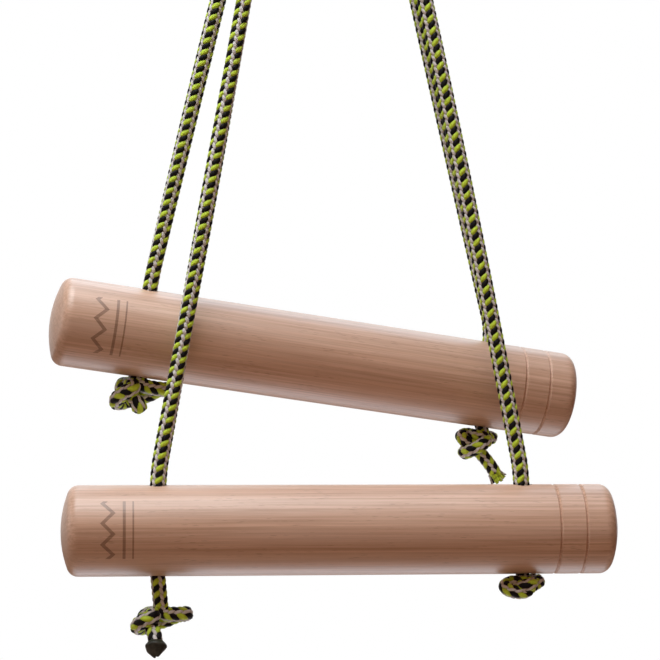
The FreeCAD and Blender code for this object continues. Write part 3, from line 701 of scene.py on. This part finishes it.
def loose_knot(thickness, turn, mirror, tail):
    """A loose overhand knot under its standing end, with the start of its tail."""
    t = np.linspace(2.1, -2.1, 200)
    loose = np.stack([t ** 3 - 3 * t, t ** 4 - 4 * t ** 2 + 1.5, (t ** 5 / 5 - 2 * t) * 1.5], axis=1)
    loose = loose * thickness * 0.5 * np.array([-1.0 if mirror else 1.0, 1.0, 1.0])
    c, s = math.cos(math.radians(turn)), math.sin(math.radians(turn))
    loose = loose @ np.array([[c, s, 0], [-s, c, 0], [0, 0, 1]])
    head = np.array([0.0, 0.0, loose[0, 2] + 2.5 * thickness])
    foot = loose[-1] + (tail + np.array([0, 0, -1.0])) * 1.5 * thickness
    return respaced(np.vstack([head, loose, foot]), KNOT_STEP)


def knot_start(points, thickness):
    """Index of the first point that has left the line of the standing end."""
    return int(np.argmax(np.linalg.norm(points[:, :2], axis=1) > thickness * LEFT_THE_LINE))


def pushed_apart(points, thickness, strangers):
    """The points after every two stretches that overlap have pushed each other away."""
    offset = points[:, None] - points[None]
    distance = np.sqrt((offset ** 2).sum(axis=2)) + np.eye(len(points))
    close = (distance < thickness) & strangers
    push = np.where(close, (thickness - distance) / distance, 0.0)[..., None] * offset * 0.5
    return points + push.sum(axis=1) / np.sqrt(np.maximum(close.sum(axis=1), 1))[:, None]


def space_evenly(points):
    """Moves neighbouring points back to one step from each other, in place."""
    count = len(points)
    for _ in range(SPACING_PASSES):
        for first in (0, 1):
            stop = first + (count - first) // 2 * 2
            one, two = points[first:stop:2], points[first + 1:stop:2]
            gap = two - one
            move = gap * (1 - KNOT_STEP / np.sqrt((gap ** 2).sum(axis=1))[:, None]) * 0.5
            points[first:stop:2] = one + move
            points[first + 1:stop:2] = two - move


def tied_knot(thickness, turn, mirror, tail):
    """Centreline in millimetres of an overhand knot pulled up against a flat surface at z = 0, with the
    indices where the knot begins and ends. A loose knot is drawn first, then pulled by both ends while no two
    stretches may come closer than the thickness and nothing but the standing end may pass the surface."""
    tail = np.array(tail, float) / np.linalg.norm(tail)
    points = loose_knot(thickness, turn, mirror, tail)
    index = np.arange(len(points))
    strangers = np.abs(index[:, None] - index[None]) * KNOT_STEP > thickness * NEIGHBOURS
    for _ in range(KNOT_PULLS):
        points[0, 2] += HEAD_PULL
        points[:3, :2] *= HEAD_KEEPS
        points[-1] += tail * TAIL_PULL
        start = knot_start(points, thickness)
        points[start:, 2] -= np.clip(points[start:, 2] + thickness / 2, 0, None)
        points = pushed_apart(points, thickness, strangers)
        space_evenly(points)
        points[1:-1] += ((points[:-2] + points[2:]) / 2 - points[1:-1]) * STIFFNESS
    distance = np.sqrt(((points[:, None] - points[None]) ** 2).sum(axis=2))
    touching = (distance < thickness * TOUCHING) & strangers
    return points, knot_start(points, thickness), int(np.nonzero(touching.any(axis=1))[0].max())


def bar_axes(name):
    """Centre and (along, across, up) of a bar, from its hinge and the straight rope in its hole."""
    joint = JOINTS[f"{name}_tilt"]
    across = Vector(joint["axis"]).normalized()
    run = np.array([v.co for v in frame["nodes"][f"{name}_right_run"].data.vertices], float)
    up = Vector(np.linalg.svd(run - run.mean(0), full_matrices=False)[2][0])
    up = up if up.z > 0 else -up
    up = (up - across * up.dot(across)).normalized()
    return Vector(joint["pos_m"]), (across.cross(up).normalized(), across, up)


def hanging_run(name, centre, axes):
    """Where the rope stands in its hole along the bar, and the bottom and top of that run, in millimetres."""
    run = [v.co for v in frame["nodes"][f"{name}_run"].data.vertices]
    heights = [(v - centre).dot(axes[2]) / MM for v in run]
    alongs = [(v - centre).dot(axes[0]) / MM for v in run]
    return (min(alongs) + max(alongs)) / 2.0, min(heights), max(heights)


def end_line(name, centre, axes, rope):
    """The rope from inside its hole through its knot to the end of its tail in metres, and the way it ends."""
    what = ENDS[name]
    diameter = rope.diameter / MM
    points, first, last = tied_knot(diameter * what["packed"], what["turn"], what["mirror"], what["tail"])
    stop = min(len(points) - 1, last + int(what["tail_length"] / KNOT_STEP))
    body = points[first:stop + 1] * np.array([1.0, 1.0, what["flat"]])
    hole, low, high = hanging_run(name, centre, axes)
    body = body + np.array([0.0, 0.0, low - (body[:, 2].max() + diameter / 2.0 * what["narrow"])])
    heights = np.linspace(high, body[0, 2] + ENTRY_GAP, ENTRY_POINTS)
    entry = np.stack([np.zeros(ENTRY_POINTS), np.zeros(ENTRY_POINTS), heights], axis=1)
    line = respaced(np.vstack([entry, body]), END_STEP)
    for _ in range(END_SMOOTHING):
        line[1:-1] = line[1:-1] * 0.5 + (line[:-2] + line[2:]) * 0.25
    line[:, 0] += what["lean"] * np.clip((LEAN_FROM - line[:, 2]) / (LEAN_FROM - low), 0.0, 1.0) + hole
    line[:, 0] += what["shift"] * np.clip((low - line[:, 2]) / SHIFT_REACH, 0.0, 1.0)
    matrix = np.array([list(axes[0]), list(axes[1]), list(axes[2])])
    way = line[-1] - line[-5]
    return np.array(centre) + (line * MM) @ matrix, (way / np.linalg.norm(way)) @ matrix


# a melted end: pairs of the distance past the rope's end and the radius, both in radii of the rope
MELTED_PROFILE = ((-0.30, 0.90), (-0.05, 1.02), (0.18, 1.20), (0.42, 1.36), (0.66, 1.30), (0.92, 1.06),
                  (1.20, 0.80), (1.48, 0.52), (1.68, 0.26))
MELTED_POINT = 1.74
MELTED_SIDES = 18


def melted_ring(at, way, size, distance, radius):
    """One lumpy, slightly tilted ring of points of a melted end."""
    side = np.cross(way, (0.0, 1.0, 0.3))
    side = side / np.linalg.norm(side)
    other = np.cross(way, side)
    ring = []
    for k in range(MELTED_SIDES):
        a = 2 * math.pi * k / MELTED_SIDES
        lump = 1 + 0.06 * math.sin(3 * a + 1.3) + 0.05 * math.sin(5 * a + 4 * distance)
        lump += 0.03 * math.sin(7 * a - 7 * distance)
        drop = 0.16 * math.sin(2 * a + 0.6) * max(0.0, distance)
        out = (side * math.cos(a) + other * math.sin(a)) * radius * lump
        ring.append(at + size * (way * (distance + drop) + out))
    return ring


def melted_cap(name, at, way, size):
    """A rope end melted into a lumpy cap that flares out, then tapers to a blunt point."""
    points, faces = [], []
    for distance, radius in MELTED_PROFILE:
        points += melted_ring(at, way, size, distance, radius)
    last = (len(MELTED_PROFILE) - 1) * MELTED_SIDES
    for start in range(0, last, MELTED_SIDES):
        for k in range(MELTED_SIDES):
            a, b = start + k, start + (k + 1) % MELTED_SIDES
            faces.append((a, b, b + MELTED_SIDES, a + MELTED_SIDES))
    points.append(at + way * size * MELTED_PROFILE[0][0])
    faces += [(len(points) - 1, (k + 1) % MELTED_SIDES, k) for k in range(MELTED_SIDES)]
    points.append(at + way * size * MELTED_POINT)
    faces += [(len(points) - 1, last + k, last + (k + 1) % MELTED_SIDES) for k in range(MELTED_SIDES)]
    mesh = bpy.data.meshes.new(name)
    mesh.from_pydata([tuple(p) for p in points], [], faces)
    mesh.polygons.foreach_set("use_smooth", np.ones(len(faces), bool))
    obj = linked(name, mesh)
    set_material(obj, melted_finish())
    smooth = obj.modifiers.new("smooth", "SUBSURF")
    smooth.levels = smooth.render_levels = 1
    return obj


# ---------------------------------------------------------------- stage
BACK_WAY = (0.0, 1.0, 0.0)
WALL_FROM, WALL_FULL = 0.45, 0.90
ROOM_STRENGTH = 0.95
DIM_ROOM = (0.125, 0.052, 0.026, 1.0)
WHITE = (1.0, 1.0, 1.0, 1.0)
FLOOR_TINT = (0.52, 0.36, 0.26, 1.0)
FLOOR_DROP = 0.85
FLOOR_RADIUS = 9.0
CAMERA_LEFT = 0.0063
CAMERA_UP = 0.1109
# name, place, width, power and tint of each lamp
LAMPS = (
    ("top_softbox", (-0.32, -0.50, 1.20), 1.3, 42.5, (0.93, 0.985, 1.0)),
    ("back_softbox", (0.0, 0.95, 0.8), 1.2, 8.5, (0.66, 1.0, 1.25)),
    ("front_softbox", (0.0, -2.0, 0.3), 1.2, 5.0, (1.0, 0.62, 0.36)),
    ("left_softbox", (-1.9, 0.1, 0.0), 1.2, 7.0, (1.0, 1.0, 1.0)),
    ("low_softbox", (0.0, 0.32, -1.50), 1.0, 6.0, (0.85, 1.0, 1.15)),
)


def studio_world(scene):
    """White all round for the camera. For the pieces, a dim, warm room with a white wall behind them."""
    world = bpy.data.worlds.new("studio")
    scene.world = world
    world.use_nodes = True
    tree = world.node_tree
    way = add_node(tree, "ShaderNodeTexCoord").outputs["Generated"]
    toward = add_node(tree, "ShaderNodeVectorMath", {0: way, 1: BACK_WAY}, operation="DOT_PRODUCT")
    wall = add_node(tree, "ShaderNodeMapRange", {
        "Value": toward.outputs["Value"], "From Min": WALL_FROM, "From Max": WALL_FULL}, clamp=True,
        interpolation_type="SMOOTHSTEP")
    tone = add_node(tree, "ShaderNodeMix", {
        "Factor": wall.outputs["Result"], 6: DIM_ROOM, 7: WHITE}, data_type="RGBA")
    room = tree.nodes["Background"]
    put(tree, room.inputs["Color"], tone.outputs[2])
    put(tree, room.inputs["Strength"], ROOM_STRENGTH)
    seen = add_node(tree, "ShaderNodeBackground", {"Color": WHITE, "Strength": 1.0})
    ray = add_node(tree, "ShaderNodeLightPath").outputs["Is Camera Ray"]
    both = add_node(tree, "ShaderNodeMixShader", {0: ray, 1: room.outputs[0], 2: seen.outputs[0]})
    put(tree, tree.nodes["World Output"].inputs["Surface"], both.outputs[0])


def studio_floor():
    """A wide floor far below that the camera sees as white."""
    place = (0, 0, CAD_BOX[0].z - FLOOR_DROP)
    bpy.ops.mesh.primitive_circle_add(vertices=96, radius=FLOOR_RADIUS, fill_type="NGON", location=place)
    floor = bpy.context.object
    floor.name = "studio_floor"
    n = Nodes("studio_white")
    glow = n.add("ShaderNodeEmission", {"Color": WHITE, "Strength": 1.0})
    ray = n.add("ShaderNodeLightPath").outputs["Is Camera Ray"]
    n.shade(Base_Color=FLOOR_TINT, Roughness=0.9)
    both = n.add("ShaderNodeMixShader", {0: ray, 1: n.shader.outputs[0], 2: glow.outputs[0]})
    put(n.tree, n.tree.nodes["Material Output"].inputs["Surface"], both.outputs[0])
    set_material(floor, n.material)


def studio_lamps():
    """Square soft lamps that all face the middle between the two bars."""
    heights = [JOINTS[name]["pos_m"][2] for name in ("front_tilt", "rear_tilt")]
    aim = Vector((0.0, 0.0, sum(heights) / 2.0))
    for name, place, width, power, tint in LAMPS:
        data = bpy.data.lights.new(name, "AREA")
        data.shape = "SQUARE"
        data.size = width
        data.energy = power
        data.color = tint
        lamp = linked(name, data)
        lamp.location = place
        lamp.rotation_euler = (aim - Vector(place)).to_track_quat("-Z", "Y").to_euler()
        lamp.visible_camera = False


def studio_camera(scene, settings):
    """A level camera straight in front of the bars, a little above the front one."""
    bar_at = Vector(JOINTS["front_tilt"]["pos_m"])
    data = bpy.data.cameras.new("camera")
    data.lens = settings.lens
    camera = linked("camera", data)
    camera.location = (bar_at.x - CAMERA_LEFT, bar_at.y - settings.camera_back, bar_at.z + CAMERA_UP)
    camera.rotation_euler = (math.pi / 2, 0.0, 0.0)
    scene.camera = camera


class GRIP_OT_bars(bpy.types.Operator):
    """Gives both turned bars their wood"""
    bl_idname = "grip.bars"
    bl_label = "Wooden bars"

    def execute(self, context):
        wood = context.scene.grip_wood
        for name, (start, pith_below) in GRAIN.items():
            centre, axes = bar_axes(name)
            finish = wood_finish(f"{name}_wood", centre, axes, wood, start, pith_below)
            set_material(frame["nodes"][f"{name}_bar"], finish)
        return {"FINISHED"}


class GRIP_OT_ropes(bpy.types.Operator):
    """Braids the two ropes over the carabiner"""
    bl_idname = "grip.ropes"
    bl_label = "Hung ropes"

    def execute(self, context):
        rope = context.scene.grip_rope
        finishes = rope_finishes(rope)
        for name, twist in TWISTS.items():
            points = spline_line(f"{name}_route", ROUTES[name])
            line = Line(points)
            braided = rope_object(f"{name}_rope_sheath", line, rope, finishes, 1.0, twist)
            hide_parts(f"{name}_rope")
            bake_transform(braided)
        return {"FINISHED"}


class GRIP_OT_ends(bpy.types.Operator):
    """Ties the four knots under the bars"""
    bl_idname = "grip.ends"
    bl_label = "Knotted rope ends"

    def execute(self, context):
        rope = context.scene.grip_rope
        finishes = rope_finishes(rope)
        made = []
        for name, what in ENDS.items():
            bar = name.split("_")[0]
            body = "front_loose_end" if name == "front_left" else f"{bar}_grip"
            centre, axes = bar_axes(bar)
            points, way = end_line(name, centre, axes, rope)
            line = Line(points)
            tied = rope_object(f"{name}_tied_end", line, rope, finishes, what["narrow"],
                               ((0.0, what["phase"]),), frayed=what["tip"] == "frayed")
            stands_for = [n for n in frame["nodes"] if n in (f"{name}_run", f"{name}_knot", f"{name}_tail")]
            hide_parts(*stands_for)
            if name == "front_left":
                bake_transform(tied)
            else:
                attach(tied, body)
            made.append(tied.name)
            if what["tip"] == "melted":
                tip = melted_cap(f"{name}_melted_tip", line.points[-1], way, rope.diameter / 2)
                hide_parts(f"{name}_tip")
                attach(tip, body)
                made.append(tip.name)
        context.scene["grip_ends"] = made
        return {"FINISHED"}


class GRIP_OT_metal(bpy.types.Operator):
    """Finishes the ceiling plate, eye and carabiner"""
    bl_idname = "grip.metal"
    bl_label = "Hanging hardware"

    def execute(self, context):
        alloy = metal_finish("satin_alloy", (0.66, 0.67, 0.69), 0.24, 300.0)
        zinc = metal_finish("zinc_plate", (0.58, 0.60, 0.62), 0.30, 160.0)
        for node in ("carabiner_body", "carabiner_gate", "screw_sleeve"):
            set_material(frame["nodes"][node], alloy)
        for node in ("ceiling_plate", "anchor_eye", "gate_pivot_pin"):
            set_material(frame["nodes"][node], zinc)
        return {"FINISHED"}


class GRIP_OT_stage(bpy.types.Operator):
    """Sets the floor, the lights, the world and the camera"""
    bl_idname = "grip.stage"
    bl_label = "Studio"

    def execute(self, context):
        studio_world(context.scene)
        studio_floor()
        studio_lamps()
        studio_camera(context.scene, context.scene.grip_stage)
        context.scene.view_settings.view_transform = "Standard"
        return {"FINISHED"}


class GRIP_PT_panel(bpy.types.Panel):
    """Lists the pieces of the hung bars"""
    bl_idname = "GRIP_PT_panel"
    bl_label = "Grip bars"
    bl_space_type = "VIEW_3D"
    bl_region_type = "UI"
    bl_category = "Grip bars"

    def draw(self, context):
        for operator in OPERATORS:
            self.layout.operator(operator.bl_idname)
        for group in (context.scene.grip_rope, context.scene.grip_wood, context.scene.grip_stage):
            for key in group.__annotations__:
                self.layout.prop(group, key)


OPERATORS = (GRIP_OT_bars, GRIP_OT_ends, GRIP_OT_ropes, GRIP_OT_metal, GRIP_OT_stage)
CLASSES = (RopeSettings, WoodSettings, StageSettings, *OPERATORS, GRIP_PT_panel)


def register():
    """Makes the settings, operators and panel known."""
    for cls in CLASSES:
        bpy.utils.register_class(cls)
    bpy.types.Scene.grip_rope = PointerProperty(type=RopeSettings)
    bpy.types.Scene.grip_wood = PointerProperty(type=WoodSettings)
    bpy.types.Scene.grip_stage = PointerProperty(type=StageSettings)


def unregister():
    """Takes them away again."""
    del bpy.types.Scene.grip_rope
    del bpy.types.Scene.grip_wood
    del bpy.types.Scene.grip_stage
    for cls in reversed(CLASSES):
        bpy.utils.unregister_class(cls)


def main():
    """Builds every piece in order."""
    register()
    bpy.ops.grip.bars()
    bpy.ops.grip.ends()
    bpy.ops.grip.ropes()
    bpy.ops.grip.metal()
    bpy.ops.grip.stage()


if __name__ == "__main__":
    main()
